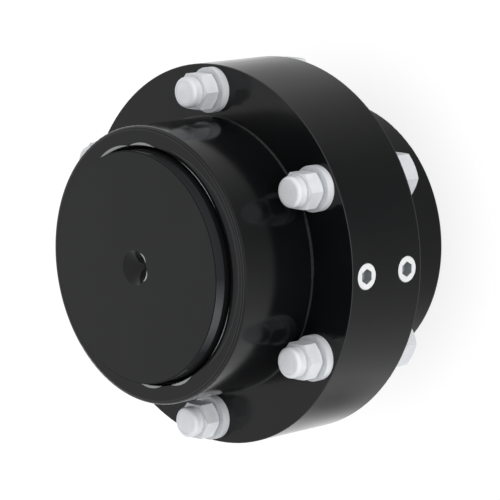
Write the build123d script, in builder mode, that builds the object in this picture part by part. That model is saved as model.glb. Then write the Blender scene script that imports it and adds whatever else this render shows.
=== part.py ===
from build123d import *
from math import acos, cos, pi, radians, sin, tan
import os

# A flanged gear coupling, standing on the end of its lower hub.
# The Z axis is the shaft axis, and the origin is the centre of the lower end.

# Sleeves
flange_diameter = 200.0
flange_thickness = 25.4
flange_edge_chamfer = 0.3
barrel_length = 48.2
barrel_wall = 5.0
barrel_edge_fillet = 2.0
barrel_root_fillet = 1.0
bore_clearance = 2.0
mouth_fillet = 0.4

# Hubs
hub_length = 77.5
hub_neck_step = 0.6
hub_edge_fillet = 0.6
hub_face_offset = 3.9
hub_boss_length = 9.5
hub_boss_step = 1.0
centre_mark_diameter = 18.0
centre_mark_depth = 7.1

# Gear teeth, a stub form with an involute flank, crowned on the hubs
tooth_module = 3.0
tooth_addendum = 2.4
pressure_angle = 20.0
tip_clearance = 0.4
flank_clearance = 0.3
crown_relief = 0.25
hub_tooth_width = 22.0

# Inside of the sleeves, beyond and behind their teeth
sleeve_tooth_margin = 0.2
relief_width = 4.0
relief_depth = 1.2
joint_recess_depth = 4.0

# Rubber rings
hub_seal_section = 5.8
hub_seal_squeeze = 0.25
hub_seal_gap = 0.35
hub_seal_groove_start = 6.0
hub_seal_side_gap = 0.3
flange_seal_section = 3.0
flange_seal_squeeze = 0.7
flange_seal_side_gap = 0.5
flange_seal_inset = 6.0

# Fitted bolts, washers and lock nuts
bolt_count = 6
bolt_rim_margin = 1.2
bolt_barrel_gap = 2.8
bolt_body_diameter = 16.0
bolt_body_setback = 0.6
bolt_thread_diameter = 12.0
bolt_end_chamfer = 0.2
bolt_head_flats = 24.0
bolt_head_height = 10.4
hexagon_bevel = 30.0
fit_clearance = 0.02
washer_diameter = 23.6
washer_thickness = 4.8
washer_hole_clearance = 0.5
washer_edge_chamfer = 0.15
nut_flats = 18.0
nut_face_step = 0.5
nut_face_height = 0.8
nut_hexagon_height = 10.6
nut_height = 16.1
nut_collar_wall = 2.0
nut_collar_fillet = 1.8

# Grease plugs
plug_diameter = 13.7
plug_length = 11.0
plug_inset = 10.5
plug_edge_chamfer = 0.4
plug_socket_flats = 7.0
plug_socket_depth = 5.0
plug_end_room = 1.0
grease_hole_diameter = 3.0

# Sizes across the shaft, from the rim inwards: the bolts keep their room beside the rim and
# the barrel, and the barrel keeps its wall around as many teeth as go into it
bolt_seat_diameter = max(bolt_head_flats, washer_diameter)
bolt_circle_diameter = flange_diameter - bolt_seat_diameter - 2 * bolt_rim_margin
barrel_diameter = bolt_circle_diameter - bolt_seat_diameter - 2 * bolt_barrel_gap
flange_radius = flange_diameter / 2
bolt_circle_radius = bolt_circle_diameter / 2
barrel_radius = barrel_diameter / 2
tooth_room = barrel_radius - barrel_wall - relief_depth - tip_clearance - tooth_addendum
tooth_count = round(2 * tooth_room / tooth_module)
pitch_radius = tooth_module * tooth_count / 2
base_radius = pitch_radius * cos(radians(pressure_angle))
hub_tip_radius = pitch_radius + tooth_addendum
hub_root_radius = pitch_radius - tooth_addendum
sleeve_tip_radius = hub_root_radius + tip_clearance
sleeve_root_radius = hub_tip_radius + tip_clearance
relief_radius = sleeve_root_radius + relief_depth
hub_diameter = 2 * (hub_root_radius - hub_neck_step)
hub_boss_diameter = hub_diameter - 2 * hub_boss_step
hub_radius = hub_diameter / 2
bore_radius = hub_radius + bore_clearance

# Heights, from the end of the lower hub
joint_height = hub_length - hub_face_offset
flange_face = joint_height - flange_thickness
sleeve_end = flange_face - barrel_length
sleeve_tooth_end = joint_height - joint_recess_depth
hub_tooth_end = hub_length - hub_boss_length
hub_tooth_start = hub_tooth_end - hub_tooth_width
hub_tooth_middle = (hub_tooth_start + hub_tooth_end) / 2
hub_tooth_reach = hub_face_offset + hub_boss_length + hub_tooth_width
sleeve_tooth_start = joint_height - hub_tooth_reach - sleeve_tooth_margin
plug_height = flange_face + plug_inset
upper_flange_top = joint_height + flange_thickness
nut_seat = upper_flange_top + washer_thickness
bolt_end = nut_seat + nut_height

hub_seal_inner_radius = hub_radius + hub_seal_gap
hub_seal_centre_radius = hub_seal_inner_radius + hub_seal_section / 2
hub_seal_groove_radius = hub_seal_inner_radius + hub_seal_section - hub_seal_squeeze
hub_seal_groove_width = hub_seal_section + 2 * hub_seal_side_gap
hub_seal_height = sleeve_end + hub_seal_groove_start + hub_seal_groove_width / 2
flange_seal_radius = relief_radius + flange_seal_inset
flange_seal_groove_depth = flange_seal_section - flange_seal_squeeze
flange_seal_groove_width = flange_seal_section + 2 * flange_seal_side_gap
plug_face_radius = (flange_radius**2 - (plug_diameter / 2) ** 2) ** 0.5
plug_hole_depth = plug_length + plug_end_room
nut_collar_diameter = bolt_thread_diameter + 2 * nut_collar_wall

os.makedirs("parts", exist_ok=True)


def involute(radius):
    # Angle between the foot of the involute and its point at this radius.
    angle = acos(base_radius / radius)
    return tan(angle) - angle


def tooth_half_angle(radius, thinning):
    # Half of the angle that a hub tooth fills at this radius.
    nominal = pi / (2 * tooth_count) + involute(pitch_radius) - involute(radius)
    return nominal - thinning / pitch_radius


def at(radius, angle):
    return (radius * cos(angle), radius * sin(angle))


def sleeve_tooth_space():
    # One space between two sleeve teeth, as a wedge that starts at the axis.
    middle_radius = (sleeve_tip_radius + sleeve_root_radius) / 2
    tip = tooth_half_angle(sleeve_tip_radius, 0)
    middle = tooth_half_angle(middle_radius, 0)
    root = tooth_half_angle(sleeve_root_radius, 0)
    with BuildSketch() as space:
        with BuildLine():
            Line((0, 0), at(sleeve_tip_radius, tip))
            ThreePointArc(
                at(sleeve_tip_radius, tip), at(middle_radius, middle), at(sleeve_root_radius, root)
            )
            ThreePointArc(
                at(sleeve_root_radius, root), at(sleeve_root_radius, 0), at(sleeve_root_radius, -root)
            )
            ThreePointArc(
                at(sleeve_root_radius, -root), at(middle_radius, -middle), at(sleeve_tip_radius, -tip)
            )
            Line(at(sleeve_tip_radius, -tip), (0, 0))
        make_face()
    return space.sketch


def hub_tooth_space(relief):
    # One space between two hub teeth, open at the tips and wider where the teeth are relieved.
    outer_radius = hub_tip_radius + tip_clearance
    middle_radius = (hub_root_radius + outer_radius) / 2
    thinning = flank_clearance + relief
    root = pi / tooth_count - tooth_half_angle(hub_root_radius, thinning)
    middle = pi / tooth_count - tooth_half_angle(middle_radius, thinning)
    outer = pi / tooth_count - tooth_half_angle(outer_radius, thinning)
    with BuildSketch() as space:
        with BuildLine():
            ThreePointArc(
                at(hub_root_radius, -root), at(hub_root_radius, 0), at(hub_root_radius, root)
            )
            ThreePointArc(
                at(hub_root_radius, root), at(middle_radius, middle), at(outer_radius, outer)
            )
            Line(at(outer_radius, outer), at(outer_radius, -outer))
            ThreePointArc(
                at(outer_radius, -outer), at(middle_radius, -middle), at(hub_root_radius, -root)
            )
        make_face()
    return space.sketch


def fastener_plane(turn, height):
    # Seat of a fastener on the bolt circle, its X axis pointing away from the shaft.
    outward = (cos(radians(turn)), sin(radians(turn)))
    origin = (bolt_circle_radius * outward[0], bolt_circle_radius * outward[1], height)
    return Plane(origin=origin, x_dir=(*outward, 0), z_dir=(0, 0, 1))


def profile_plane(seat):
    # Upright plane through the axis of a seat: X is the radius, Y the height.
    return Plane(origin=seat.origin, x_dir=seat.x_dir, z_dir=-seat.y_dir)


def plug_plane(turn, height, radius):
    # Plane across a grease plug, looking out of the rim, its X axis along the shaft.
    outward = (cos(radians(turn)), sin(radians(turn)), 0)
    origin = (radius * outward[0], radius * outward[1], height)
    return Plane(origin=origin, x_dir=(0, 0, 1), z_dir=outward)


def make_sleeve(seal_groove):
    # A sleeve that stands on its outer end, with the joint face on top.
    with BuildPart() as sleeve:
        with BuildSketch(Plane.XY.offset(sleeve_end)):
            Circle(barrel_radius)
        extrude(amount=barrel_length)
        with BuildSketch(Plane.XY.offset(flange_face)):
            Circle(flange_radius)
        extrude(amount=flange_thickness)
        with BuildSketch(Plane.XY.offset(sleeve_end)):
            Circle(bore_radius)
        extrude(amount=barrel_length + flange_thickness, mode=Mode.SUBTRACT)

        end_rings = sleeve.faces().sort_by(Axis.Z)[0].edges().sort_by(SortBy.RADIUS)
        fillet(end_rings[0], mouth_fillet)
        end_edge = sleeve.faces().sort_by(Axis.Z)[0].edges().sort_by(SortBy.RADIUS)[-1]
        fillet(end_edge, barrel_edge_fillet)
        shoulder = sleeve.edges().filter_by(GeomType.CIRCLE).filter_by_position(
            Axis.Z, flange_face - fit_clearance, flange_face + fit_clearance
        )
        rings = shoulder.sort_by(SortBy.RADIUS)
        chamfer(rings[-1], flange_edge_chamfer)
        fillet(rings[0], barrel_root_fillet)

        with BuildSketch(Plane.XY.offset(sleeve_end + hub_seal_groove_start)):
            Circle(hub_seal_groove_radius)
        extrude(amount=hub_seal_groove_width, mode=Mode.SUBTRACT)
        with BuildSketch(Plane.XY.offset(sleeve_tooth_start)):
            Circle(relief_radius)
        extrude(amount=-relief_width, mode=Mode.SUBTRACT)
        with BuildSketch(Plane.XY.offset(sleeve_tooth_start)) as toothed_bore:
            Circle(sleeve_tip_radius)
            with PolarLocations(0, tooth_count, start_angle=180 / tooth_count):
                add(sleeve_tooth_space())
        extrude(amount=sleeve_tooth_end - sleeve_tooth_start, mode=Mode.SUBTRACT)
        with BuildSketch(Plane.XY.offset(sleeve_tooth_end)):
            Circle(relief_radius)
        extrude(amount=joint_recess_depth, mode=Mode.SUBTRACT)

        with BuildSketch(Plane.XY.offset(flange_face)):
            with PolarLocations(bolt_circle_radius, bolt_count):
                Circle(bolt_body_diameter / 2 + fit_clearance)
        extrude(amount=flange_thickness, mode=Mode.SUBTRACT)

        for turn in (-90, 90):
            rim = plug_plane(turn, plug_height, flange_radius)
            with BuildSketch(rim):
                Circle(plug_diameter / 2 + fit_clearance)
            extrude(amount=-plug_hole_depth, mode=Mode.SUBTRACT)
            with BuildSketch(rim):
                Circle(grease_hole_diameter / 2)
            extrude(amount=pitch_radius - flange_radius, mode=Mode.SUBTRACT)

        if seal_groove:
            with BuildSketch(Plane.XY.offset(joint_height)):
                Circle(flange_seal_radius + flange_seal_groove_width / 2)
                Circle(flange_seal_radius - flange_seal_groove_width / 2, mode=Mode.SUBTRACT)
            extrude(amount=-flange_seal_groove_depth, mode=Mode.SUBTRACT)
    return sleeve.part


def make_hub():
    # A hub that stands on its outer end, with its teeth near the inner one.
    end_drop = (hub_tip_radius**2 - (hub_tooth_width / 2) ** 2) ** 0.5
    boss_radius = hub_boss_diameter / 2
    with BuildPart() as hub:
        with BuildSketch(Plane.XZ):
            with BuildLine():
                Polyline(
                    (0, centre_mark_depth),
                    (centre_mark_diameter / 2, 0),
                    (hub_radius, 0),
                    (hub_radius, hub_tooth_start),
                    (end_drop, hub_tooth_start),
                )
                ThreePointArc(
                    (end_drop, hub_tooth_start), (hub_tip_radius, hub_tooth_middle),
                    (end_drop, hub_tooth_end),
                )
                Polyline(
                    (end_drop, hub_tooth_end),
                    (boss_radius, hub_tooth_end),
                    (boss_radius, hub_length),
                    (centre_mark_diameter / 2, hub_length),
                    (0, hub_length - centre_mark_depth),
                    (0, centre_mark_depth),
                )
            make_face()
        revolve(axis=Axis.Z)

        with BuildPart(mode=Mode.PRIVATE) as cutter:
            with BuildSketch(Plane.XY.offset(hub_tooth_start)):
                add(hub_tooth_space(crown_relief))
            with BuildSketch(Plane.XY.offset(hub_tooth_middle)):
                add(hub_tooth_space(0))
            with BuildSketch(Plane.XY.offset(hub_tooth_end)):
                add(hub_tooth_space(crown_relief))
            loft(ruled=True)
        with PolarLocations(0, tooth_count):
            add(cutter.part, mode=Mode.SUBTRACT)

        end_edges = hub.edges().filter_by(GeomType.CIRCLE).filter_by_position(Axis.Z, -1, 0)
        fillet(end_edges.sort_by(SortBy.RADIUS)[-1], hub_edge_fillet)
    return hub.part


def make_hub_seal():
    # A round rubber ring, flattened where its groove squeezes it.
    with BuildPart() as seal:
        with BuildSketch(Plane.XZ):
            with Locations((hub_seal_centre_radius, hub_seal_height)):
                Circle(hub_seal_section / 2)
            with Locations((hub_seal_groove_radius, hub_seal_height)):
                Rectangle(
                    hub_seal_section, hub_seal_section,
                    align=(Align.MIN, Align.CENTER), mode=Mode.SUBTRACT,
                )
        revolve(axis=Axis.Z)
    return seal.part


with BuildPart() as lower_sleeve:
    add(make_sleeve(True))
lower_sleeve.part.label = "lower_sleeve"
export_step(lower_sleeve.part, "parts/lower_sleeve.step")

with BuildPart() as upper_sleeve:
    add(make_sleeve(False))
    mirror(about=Plane.XY.offset(joint_height), mode=Mode.REPLACE)
upper_sleeve.part.label = "upper_sleeve"
export_step(upper_sleeve.part, "parts/upper_sleeve.step")

with BuildPart() as lower_hub:
    add(make_hub())
lower_hub.part.label = "lower_hub"
export_step(lower_hub.part, "parts/lower_hub.step")

# The upper hub rests on the lower one, face to face.
with BuildPart() as upper_hub:
    add(make_hub())
    mirror(about=Plane.XY.offset(hub_length), mode=Mode.REPLACE)
upper_hub.part.label = "upper_hub"
export_step(upper_hub.part, "parts/upper_hub.step")

with BuildPart() as lower_hub_seal:
    add(make_hub_seal())
lower_hub_seal.part.label = "lower_hub_seal"
export_step(lower_hub_seal.part, "parts/lower_hub_seal.step")

with BuildPart() as upper_hub_seal:
    add(make_hub_seal())
    mirror(about=Plane.XY.offset(joint_height), mode=Mode.REPLACE)
upper_hub_seal.part.label = "upper_hub_seal"
export_step(upper_hub_seal.part, "parts/upper_hub_seal.step")

# The ring between the flanges is pressed flat by the groove floor and the other flange.
with BuildPart() as flange_seal:
    with BuildSketch(Plane.XZ):
        with Locations((flange_seal_radius, joint_height - flange_seal_groove_depth / 2)):
            Circle(flange_seal_section / 2)
            Rectangle(flange_seal_groove_width, flange_seal_groove_depth, mode=Mode.INTERSECT)
    revolve(axis=Axis.Z)
flange_seal.part.label = "flange_seal"
export_step(flange_seal.part, "parts/flange_seal.step")

for number in range(1, bolt_count + 1):
    turn = (number - 1) * 360 / bolt_count

    head_seat = fastener_plane(turn, flange_face)
    bolt_axis = Axis(head_seat.origin, head_seat.z_dir)
    head_corner = bolt_head_flats / 2 / cos(radians(30))
    head_bevel = (head_corner - bolt_head_flats / 2) * tan(radians(hexagon_bevel))
    body_top = upper_flange_top - flange_face - bolt_body_setback
    thread_top = bolt_end - flange_face
    with BuildPart() as bolt:
        with BuildSketch(head_seat):
            RegularPolygon(bolt_head_flats / 2, 6, major_radius=False, rotation=30)
        extrude(amount=-bolt_head_height)
        with BuildSketch(profile_plane(head_seat)):
            with BuildLine():
                Polyline(
                    (0, 0),
                    (head_corner, 0),
                    (head_corner, head_bevel - bolt_head_height),
                    (bolt_head_flats / 2, -bolt_head_height),
                    (0, -bolt_head_height),
                    close=True,
                )
            make_face()
        revolve(axis=bolt_axis, mode=Mode.INTERSECT)
        with BuildSketch(head_seat):
            Circle(bolt_body_diameter / 2)
        extrude(amount=body_top)
        with BuildSketch(head_seat):
            Circle(bolt_thread_diameter / 2)
        extrude(amount=thread_top)
        chamfer(bolt.faces().sort_by(Axis.Z)[-1].edges(), bolt_end_chamfer)
    bolt.part.label = f"bolt_{number}"
    export_step(bolt.part, f"parts/bolt_{number}.step")

    with BuildPart() as washer:
        with BuildSketch(fastener_plane(turn, upper_flange_top)):
            Circle(washer_diameter / 2)
            Circle(bolt_thread_diameter / 2 + washer_hole_clearance, mode=Mode.SUBTRACT)
        extrude(amount=washer_thickness)
        outer_edges = washer.edges().filter_by(GeomType.CIRCLE).group_by(SortBy.RADIUS)[-1]
        chamfer(outer_edges, washer_edge_chamfer)
    washer.part.label = f"washer_{number}"
    export_step(washer.part, f"parts/washer_{number}.step")

    nut_plane = fastener_plane(turn, nut_seat)
    nut_corner = nut_flats / 2 / cos(radians(30))
    nut_bevel = (nut_corner - nut_flats / 2) * tan(radians(hexagon_bevel))
    nut_wall = (nut_collar_diameter - bolt_thread_diameter) / 2 - fit_clearance
    with BuildPart() as nut:
        with BuildSketch(nut_plane.offset(nut_face_height)):
            RegularPolygon(nut_flats / 2, 6, major_radius=False, rotation=30)
        extrude(amount=nut_hexagon_height - nut_face_height)
        with BuildSketch(profile_plane(nut_plane)):
            with BuildLine():
                Polyline(
                    (0, nut_face_height),
                    (nut_flats / 2, nut_face_height),
                    (nut_corner, nut_face_height + nut_bevel),
                    (nut_corner, nut_hexagon_height - nut_bevel),
                    (nut_flats / 2, nut_hexagon_height),
                    (0, nut_hexagon_height),
                    close=True,
                )
            make_face()
        revolve(axis=Axis(nut_plane.origin, nut_plane.z_dir), mode=Mode.INTERSECT)
        with BuildSketch(nut_plane):
            Circle(nut_flats / 2 - nut_face_step)
        extrude(amount=nut_face_height)
        with BuildSketch(nut_plane.offset(nut_hexagon_height)):
            Circle(nut_collar_diameter / 2)
        extrude(amount=nut_height - nut_hexagon_height)
        # The collar's rounding stops short of the thread.
        collar_edge = nut.faces().sort_by(Axis.Z)[-1].edges()
        fillet(collar_edge, min(nut_collar_fillet, 0.95 * nut_wall))
        with BuildSketch(nut_plane):
            Circle(bolt_thread_diameter / 2 + fit_clearance)
        extrude(amount=nut_height, mode=Mode.SUBTRACT)
    nut.part.label = f"nut_{number}"
    export_step(nut.part, f"parts/nut_{number}.step")

for name, height in (("lower", plug_height), ("upper", 2 * joint_height - plug_height)):
    for number, turn in ((1, -90), (2, 90)):
        face = plug_plane(turn, height, plug_face_radius)
        with BuildPart() as plug:
            with BuildSketch(face):
                Circle(plug_diameter / 2)
            extrude(amount=-plug_length)
            round_edges = plug.edges().filter_by(GeomType.CIRCLE)
            chamfer(round_edges, plug_edge_chamfer)
            with BuildSketch(face):
                RegularPolygon(plug_socket_flats / 2, 6, major_radius=False, rotation=30)
            extrude(amount=-plug_socket_depth, mode=Mode.SUBTRACT)
        plug.part.label = f"{name}_plug_{number}"
        export_step(plug.part, f"parts/{name}_plug_{number}.step")
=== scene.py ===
import bpy, bmesh
from math import cos, radians, sin, tau
from mathutils import Matrix, Vector

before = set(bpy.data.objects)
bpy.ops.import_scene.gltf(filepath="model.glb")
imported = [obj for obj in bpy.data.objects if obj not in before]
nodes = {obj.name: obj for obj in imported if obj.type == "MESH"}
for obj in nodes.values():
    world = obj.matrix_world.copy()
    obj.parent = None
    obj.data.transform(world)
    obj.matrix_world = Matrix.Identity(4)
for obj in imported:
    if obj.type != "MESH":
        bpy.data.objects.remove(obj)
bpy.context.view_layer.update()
print("frame loaded:", len(nodes), "nodes")

crisp = 0.0001  # metres over which one finish gives way to the next


class Wire:
    # one output socket: the operators add Math nodes, make() adds any other node
    def __init__(self, tree, socket=None):
        self.tree, self.socket = tree, socket

    def make(self, kind, settings=None, inputs=None, output=0):
        node = self.tree.nodes.new(kind)
        for name, value in (settings or {}).items():
            if name == "stops":  # of a colour ramp, each a place and a grey
                stops = node.color_ramp.elements
                while len(stops) < len(value):
                    stops.new(0.5)
                for stop, (place, shade) in zip(stops, value):
                    stop.position = place
                    stop.color = (shade, shade, shade, 1)
            else:
                setattr(node, name, value)
        for name, value in (inputs or {}).items():
            if isinstance(value, Wire):
                self.tree.links.new(value.socket, node.inputs[name])
            else:
                node.inputs[name].default_value = value
        return Wire(self.tree, node.outputs[output]) if node.outputs else None

    def math(self, operation, first, second=0.0, clamp=False):
        settings = {"operation": operation, "use_clamp": clamp}
        return self.make("ShaderNodeMath", settings, {0: first, 1: second})

    def __add__(self, other):
        return self.math("ADD", self, other)

    def __sub__(self, other):
        return self.math("SUBTRACT", self, other)

    def __rsub__(self, other):
        return self.math("SUBTRACT", other, self)

    def __mul__(self, other):
        return self.math("MULTIPLY", self, other)

    __radd__ = __add__
    __rmul__ = __mul__

    def root(self):
        return self.math("SQRT", self)

    def most(self, other):
        return self.math("MAXIMUM", self, other)

    def least(self, other):
        return self.math("MINIMUM", self, other)

    def size(self):
        return self.math("ABSOLUTE", self)

    def distance(self, first, second):
        # between two places; output 1 of this node is its number
        settings = {"operation": "DISTANCE"}
        return self.make("ShaderNodeVectorMath", settings, {0: first, 1: second}, output=1)


class Finish:
    # a material being wired, with the patterns that the pieces share
    def __init__(self, name):
        self.material = bpy.data.materials.new(name)
        self.material.use_nodes = True
        self.material.node_tree.nodes.clear()
        self.start = Wire(self.material.node_tree)
        self.place = self.start.make("ShaderNodeTexCoord", output="Object")
        self.x, self.y, self.z = [
            self.start.make("ShaderNodeSeparateXYZ", inputs={"Vector": self.place}, output=axis)
            for axis in "XYZ"
        ]
        self.radius = (self.x * self.x + self.y * self.y).root()

    def noise(self, scale, detail=2.0, rough=0.5, stretch=None):
        place = self.place
        if stretch:
            place = self.start.make("ShaderNodeMapping", inputs={"Vector": place, "Scale": stretch})
        inputs = {"Vector": place, "Scale": scale, "Detail": detail, "Roughness": rough}
        return self.start.make("ShaderNodeTexNoise", inputs=inputs)

    def ramp(self, value, stops):
        return self.start.make("ShaderNodeValToRGB", {"stops": stops}, {"Fac": value})

    def blend(self, mask, first, second):
        # inputs 6 and 7 and output 2 of the Mix node are its colours
        inputs = {"Factor": mask, 6: first, 7: second}
        return self.start.make("ShaderNodeMix", {"data_type": "RGBA"}, inputs, output=2)

    def clouded(self, look):
        # the clouds of a finish, and its two tones mixed by them
        cloud = self.noise(*look["cloud"])
        return cloud, self.blend(self.ramp(cloud, look["cloudStops"]), look["tone"], look["pale"])

    def near(self, value, middle, half, soft=crisp):
        # 1 within half of the middle, falling to 0 over soft
        inside = (half + soft) - (value - middle).size()
        return self.start.math("DIVIDE", inside, soft, clamp=True)

    def within(self, value, reach, soft=crisp):
        return self.near(value, 0.0, reach, soft)

    def past(self, value, reach, soft=crisp):
        return 1 - self.near(value, 0.0, reach, soft)

    def apart(self, place):
        return self.start.distance(self.place, place)

    def highlightArcs(self, circle, height, drop, highlightArcs):
        # painted highlight crescents outside a circle at this height, each with its angle, depth and half
        # length
        mask = 0.0
        for angle, depth, half in highlightArcs:
            bend = 1 / (2 * depth / half ** 2 + 1 / circle)
            arm = circle + depth - bend
            centre = (arm * cos(radians(angle)), arm * sin(radians(angle)), height)
            mask = self.within(self.apart(centre), bend).most(mask)
        return mask * self.near(self.z, height, drop)

    def close(self, surface, *bumps):
        # bumps are (height, strength, distance in metres), the finest last
        normal = None
        for height, strength, distance in bumps:
            inputs = {"Height": height, "Strength": strength, "Distance": distance}
            if normal:
                inputs["Normal"] = normal
            normal = self.start.make("ShaderNodeBump", inputs=inputs)
        if normal:
            surface["Normal"] = normal
        shader = self.start.make("ShaderNodeBsdfPrincipled", inputs=surface)
        self.start.make("ShaderNodeOutputMaterial", inputs={"Surface": shader})
        return self.material


def dress(names, material):
    for name in names:
        mesh = nodes[name].data
        mesh.materials.clear()
        mesh.materials.append(material)


# in these settings a noise is its scale, detail, roughness and stretch, a bump its strength and distance,
# a band its middle, half width and fade, and a reach or start its distance and fade; without a fade it is crisp
sleeveLook = {
    "tone": (0.0030, 0.0033, 0.0038, 1), "pale": (0.0048, 0.0052, 0.0060, 1),
    "cloud": (28, 3), "cloudStops": ((0.35, 0), (0.7, 1)), "peel": (900, 2), "peelBump": (0.04, 0.0002),
    "smears": (60, 4, 0.6, (1, 1, 0.3)), "smearStops": ((0.45, 0), (0.75, 1)),
    "rough": 0.12, "cloudRough": 0.05, "smearRough": 0.05, "ior": 1.33,
    # painted highlight lines on the corners of the rim and on the roundings of the ends
    "edge": (0.045, 0.046, 0.049, 1), "edgeLeast": 0.5, "edgeCloud": 0.5,
    "rim": (0.1, 0.0003), "corners": ((0.0482, 0.0009), (0.099, 0.0003)),
    "ends": ((0.0, 0.0012, 0.0002), (0.1472, 0.0012, 0.0002)),
    "endLines": ((0.0700, 0.00012), (0.0712, 0.00008)),
    # the painted highlight crescent: inside a circle a little off the axis, outside one on it
    "paintedSheen": (0.034, 0.035, 0.037, 1), "sheenFace": (0.1472, 0.0004),
    "sheenCentre": (0.00196, -0.00792, 0.1472), "sheenReach": (0.0600, 0.0006),
    "sheenStart": (0.0638, 0.0003),
    # painted highlights at the mouth, each with its angle, depth and half length
    "mouth": {"circle": 0.062, "height": 0.1472, "drop": 0.0005, "highlightArcs": (
        (24, 0.0015, 0.0135), (2.5, 0.0014, 0.010), (-155, 0.0015, 0.009),
        (-177, 0.0014, 0.0085), (-40, 0.00065, 0.021), (-116, 0.0006, 0.018),
    )},
    # the colour of the painted highlights
    "arcHighlight": (0.42, 0.43, 0.44, 1),
}


def sleeveEnamel(look):
    paint = Finish("sleeveEnamel")
    cloud, tone = paint.clouded(look)
    peel = paint.noise(*look["peel"])
    smears = paint.ramp(paint.noise(*look["smears"]), look["smearStops"])
    # painted highlight lines, paler, where the enamel goes over the corners of the rim
    lowCorner, highCorner = [paint.near(paint.z, *corner) for corner in look["corners"]]
    edgeHighlight = paint.near(paint.radius, *look["rim"]) * lowCorner.most(highCorner)
    # and on the roundings at the ends of the barrels
    lowEnd, highEnd = [paint.near(paint.z, *end) for end in look["ends"]]
    ends = lowEnd.most(highEnd)
    for line in look["endLines"]:
        edgeHighlight = edgeHighlight.most(ends * paint.near(paint.radius, *line))
    tone = paint.blend(edgeHighlight * (look["edgeLeast"] + look["edgeCloud"] * cloud), tone, look["edge"])
    # one side of the upper end is painted paler beside the hub, a painted highlight
    paintedSheen = paint.within(paint.apart(look["sheenCentre"]), *look["sheenReach"])
    paintedSheen = paintedSheen * paint.near(paint.z, *look["sheenFace"]) * paint.past(paint.radius, *look["sheenStart"])
    tone = paint.blend(paintedSheen, tone, look["paintedSheen"])
    # and its mouth has pale painted highlights
    tone = paint.blend(paint.highlightArcs(**look["mouth"]), tone, look["arcHighlight"])
    rough = look["rough"] + look["cloudRough"] * cloud + look["smearRough"] * smears
    surface = {"Base Color": tone, "Roughness": rough, "IOR": look["ior"]}
    return paint.close(surface, (peel, *look["peelBump"]))


hubLook = {
    "tone": (0.0032, 0.0037, 0.0042, 1), "pale": (0.0050, 0.0056, 0.0062, 1),
    "cloud": (30, 3), "cloudStops": ((0.35, 0), (0.7, 1)), "peel": (900, 2), "peelBump": (0.03, 0.0002),
    "turningPitch": 0.0005, "turningBump": (0.02, 0.00005),
    "rough": 0.13, "cloudRough": 0.06, "ior": 1.33, "middle": 0.0775,
    # the side of the neck, painted paler as a painted reflection
    "neck": (0.029, 0.030, 0.032, 1), "neckLeast": 0.8, "neckCloud": 0.2, "neckStart": 0.05985,
    # a painted glint on the neck of the upper hub
    "paintedGlint": (0.10, 0.105, 0.11, 1), "glintPlace": (-0.019, -0.057, 0.153),
    "glintReach": (0.004, 0.017),
    # painted shade on the neck inside the gap, and the roughness there
    "gapShade": (0.0012, 0.0012, 0.0013, 1), "gapShadeRough": 0.6, "gapShadeReach": (0.0717, 0.0003),
    # the dull edge of the face
    "edge": (0.0598, 0.0004), "edgeStart": 0.0768, "edgeRough": 0.7,
    # painted highlights at the centre mark, each with its angle, depth and half length
    "mark": {"circle": 0.009, "height": 0.155, "drop": 0.0, "highlightArcs": (
        (-46, 0.0007, 0.0034), (-113, 0.0008, 0.0036),
    )},
    # the colour of the painted highlights
    "arcHighlight": (0.42, 0.43, 0.44, 1),
}


def hubEnamel(look):
    paint = Finish("hubEnamel")
    cloud, tone = paint.clouded(look)
    peel = paint.noise(*look["peel"])
    # faint rings of the facing tool under the paint
    rings = paint.start.math("SINE", paint.radius * (tau / look["turningPitch"]))
    # the side of the neck is painted paler, a painted reflection
    neck = paint.past(paint.radius, look["neckStart"])
    tone = paint.blend(neck * (look["neckLeast"] + look["neckCloud"] * cloud), tone, look["neck"])
    # and a brighter painted glint at one place of the upper one
    paintedGlint = paint.within(paint.apart(look["glintPlace"]), *look["glintReach"])
    tone = paint.blend(neck * paintedGlint, tone, look["paintedGlint"])
    # and is painted black near the sleeve, a painted shade of the gap, and made dull there
    rise = paint.z - look["middle"]
    shadedNeck = neck * paint.within(rise, *look["gapShadeReach"])
    tone = paint.blend(shadedNeck, tone, look["gapShade"])
    # the rim of the upper centre mark has pale painted highlights
    tone = paint.blend(paint.highlightArcs(**look["mark"]), tone, look["arcHighlight"])
    # the edge of the face has lost its gloss
    edge = paint.near(paint.radius, *look["edge"]) * paint.past(rise, look["edgeStart"])
    dull = (look["gapShadeRough"] * shadedNeck).most(look["edgeRough"] * edge)
    rough = look["rough"] + look["cloudRough"] * cloud + dull
    surface = {"Base Color": tone, "Roughness": rough, "IOR": look["ior"]}
    return paint.close(surface, (rings, *look["turningBump"]), (peel, *look["peelBump"]))


zincLook = {
    "tone": (0.80, 0.817, 0.845, 1), "pale": (0.88, 0.897, 0.922, 1),
    "cloud": (140, 3), "cloudStops": ((0.3, 0), (0.7, 1)), "grain": (2500, 3), "grainBump": (0.06, 0.0001),
    "rough": 0.42, "grainRough": 0.12, "metal": 0.2,
    # painted shade at the seat of the nut and at its shoulder
    "dull": (0.34, 0.355, 0.375, 1), "seat": (0.1040, 0.0005, 0.0002), "seatShare": 0.45,
    "shoulder": (0.1141, 0.0004, 0.0005), "shoulderShare": 0.35,
}


def fastenerZinc(look):
    plate = Finish("fastenerZinc")
    tone = plate.clouded(look)[1]
    grain = plate.noise(*look["grain"])
    # painted shade where nut and washer meet and where the hexagon meets the collar
    seat = look["seatShare"] * plate.near(plate.z, *look["seat"])
    shoulder = look["shoulderShare"] * plate.near(plate.z, *look["shoulder"])
    tone = plate.blend(seat.most(shoulder), tone, look["dull"])
    rough = look["rough"] + look["grainRough"] * grain
    surface = {"Base Color": tone, "Roughness": rough, "Metallic": look["metal"]}
    return plate.close(surface, (grain, *look["grainBump"]))


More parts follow.
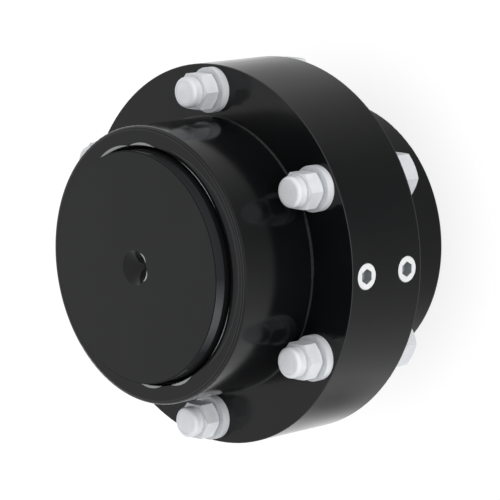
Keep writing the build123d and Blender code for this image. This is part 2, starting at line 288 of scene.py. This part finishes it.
plugLook = {
    "tone": (0.88, 0.885, 0.895, 1), "pale": (0.95, 0.953, 0.96, 1),
    "cloud": (200, 3), "cloudStops": ((0.3, 0), (0.7, 1)), "grain": (2500, 3), "grainBump": (0.06, 0.0001),
    "rough": 0.4, "grainRough": 0.1, "metal": 0.15,
    # the sockets, painted darker inside as painted shade: their heights, their reach from the axis of the plug,
    # and the face they start in
    "socket": (0.30, 0.325, 0.335, 1), "heights": (0.0587, 0.0885), "socketReach": (0.0042, 0.0002),
    "face": (0.1, 0.0004),
}


def plugZinc(look):
    plate = Finish("plugZinc")
    tone = plate.clouded(look)[1]
    grain = plate.noise(*look["grain"])
    # the socket is painted darker inside, below the face of the plug, a painted shade of the recess
    low, high = look["heights"]
    rise = (plate.z - low).size().least((plate.z - high).size())
    reach = (rise * rise + plate.x * plate.x).root()
    inside = plate.within(reach, *look["socketReach"]) * (1 - plate.near(plate.y.size(), *look["face"]))
    tone = plate.blend(inside, tone, look["socket"])
    rough = look["rough"] + look["grainRough"] * grain
    surface = {"Base Color": tone, "Roughness": rough, "Metallic": look["metal"]}
    return plate.close(surface, (grain, *look["grainBump"]))


rubberLook = {
    "dark": (0.008, 0.008, 0.008, 1), "pale": (0.018, 0.018, 0.018, 1),
    "grain": (1500, 3), "grainBump": (0.2, 0.0001), "rough": 0.55, "grainRough": 0.15,
}


def sealRubber(look):
    rubber = Finish("sealRubber")
    grain = rubber.noise(*look["grain"])
    tone = rubber.blend(grain, look["dark"], look["pale"])
    surface = {"Base Color": tone, "Roughness": look["rough"] + look["grainRough"] * grain}
    return rubber.close(surface, (grain, *look["grainBump"]))


dress(["lower_sleeve", "upper_sleeve"], sleeveEnamel(sleeveLook))
dress(["lower_hub", "upper_hub"], hubEnamel(hubLook))
dress([name for name in nodes if name.startswith(("bolt_", "nut_", "washer_"))], fastenerZinc(zincLook))
dress([name for name in nodes if "_plug_" in name], plugZinc(plugLook))
dress([name for name in nodes if name.endswith("_seal")], sealRubber(rubberLook))
print("finishes done")


floorLook = {
    "tone": (0.46, 0.46, 0.46, 1), "reach": 3.0, "white": 0.72,
    # place, core, reach and least share of the light of each patch of painted shade
    "shadePatches": (
        ((0.10, -0.165, 0.0), 0.04, 0.27, 0.0),
        ((-0.15, -0.045, 0.0), 0.01, 0.05, 0.2),
        ((0.145, 0.045, 0.0), 0.01, 0.06, 0.65),
    ),
}


def seenBy(start, glossy):
    # 1 for the camera and through glass, and this much in reflections
    rays = start.make("ShaderNodeLightPath", output="Is Camera Ray")
    outputs = rays.socket.node.outputs
    through = Wire(start.tree, outputs["Is Transmission Ray"])
    return rays.most(through).most(glossy * Wire(start.tree, outputs["Is Glossy Ray"]))


def studioFloor(look):
    bm = bmesh.new()
    bmesh.ops.create_grid(bm, x_segments=1, y_segments=1, size=look["reach"])
    mesh = bpy.data.meshes.new("studioFloor")
    bm.to_mesh(mesh)
    bm.free()
    floor = bpy.data.objects.new("studioFloor", mesh)
    bpy.context.scene.collection.objects.link(floor)
    material = bpy.data.materials.new("paleFloor")
    material.use_nodes = True
    material.node_tree.nodes.clear()
    start = Wire(material.node_tree)
    plain = start.make("ShaderNodeBsdfDiffuse", inputs={"Color": look["tone"]})
    # the rim mirrors patches of painted shade on the floor around it
    place = start.make("ShaderNodeTexCoord", output="Object")
    mirrored = 1.0
    for centre, core, reach, least in look["shadePatches"]:
        away = start.distance(place, centre) - core
        mirrored = mirrored * (least + (1 - least) * start.math("DIVIDE", away, reach - core, clamp=True))
    glow = {"Color": (1, 1, 1, 1), "Strength": look["white"] * seenBy(start, mirrored)}
    white = start.make("ShaderNodeEmission", inputs=glow)
    both = start.make("ShaderNodeAddShader", inputs={0: plain, 1: white})
    start.make("ShaderNodeOutputMaterial", inputs={"Surface": both})
    mesh.materials.append(material)


skyLook = {"light": 0.68, "white": 0.32}


def studioSky(look):
    world = bpy.data.worlds.new("studioSky")
    world.use_nodes = True
    world.node_tree.nodes.clear()
    start = Wire(world.node_tree)
    strength = look["light"] + look["white"] * seenBy(start, 1.0)
    white = start.make("ShaderNodeBackground", inputs={"Color": (1, 1, 1, 1), "Strength": strength})
    start.make("ShaderNodeOutputWorld", inputs={"Surface": white})
    bpy.context.scene.world = world


softboxLook = {
    "aim": (0, 0, 0.07), "size": 1.2,
    "lamps": (("frontLight", (0.3, -1.6, 0.38), 15), ("backLight", (-0.6, 1.6, 0.7), 5)),
}


def softboxes(look):
    for name, place, power in look["lamps"]:
        light = bpy.data.lights.new(name, "AREA")
        light.shape = "DISK"
        light.size = look["size"]
        light.energy = power
        lamp = bpy.data.objects.new(name, light)
        lamp.location = place
        lamp.visible_glossy = False
        lamp.rotation_euler = (Vector(look["aim"]) - Vector(place)).to_track_quat("-Z", "Y").to_euler()
        bpy.context.scene.collection.objects.link(lamp)


cameraLook = {
    "back": (0.174, -0.7015, 0.6913), "up": (0.985, 0.124, -0.122), "distance": 1.5239,
    "aim": (0, 0, 0.0736), "across": 0.0008, "rise": -0.0008, "lens": 207.4, "sensor": 36,
}


def photoCamera(look):
    back = Vector(look["back"]).normalized()
    right = Vector(look["up"]).cross(back).normalized()
    up = back.cross(right)
    camera = bpy.data.objects.new("photoCamera", bpy.data.cameras.new("photoCamera"))
    camera.data.lens = look["lens"]
    camera.data.sensor_width = look["sensor"]
    camera.rotation_mode = "QUATERNION"
    camera.rotation_quaternion = Matrix((right, up, back)).transposed().to_quaternion()
    shift = look["across"] * right + look["rise"] * up
    camera.location = Vector(look["aim"]) + look["distance"] * back + shift
    bpy.context.scene.collection.objects.link(camera)
    bpy.context.scene.camera = camera


studioFloor(floorLook)
studioSky(skyLook)
softboxes(softboxLook)
photoCamera(cameraLook)
bpy.context.scene.view_settings.view_transform = "Standard"
print("studio done")
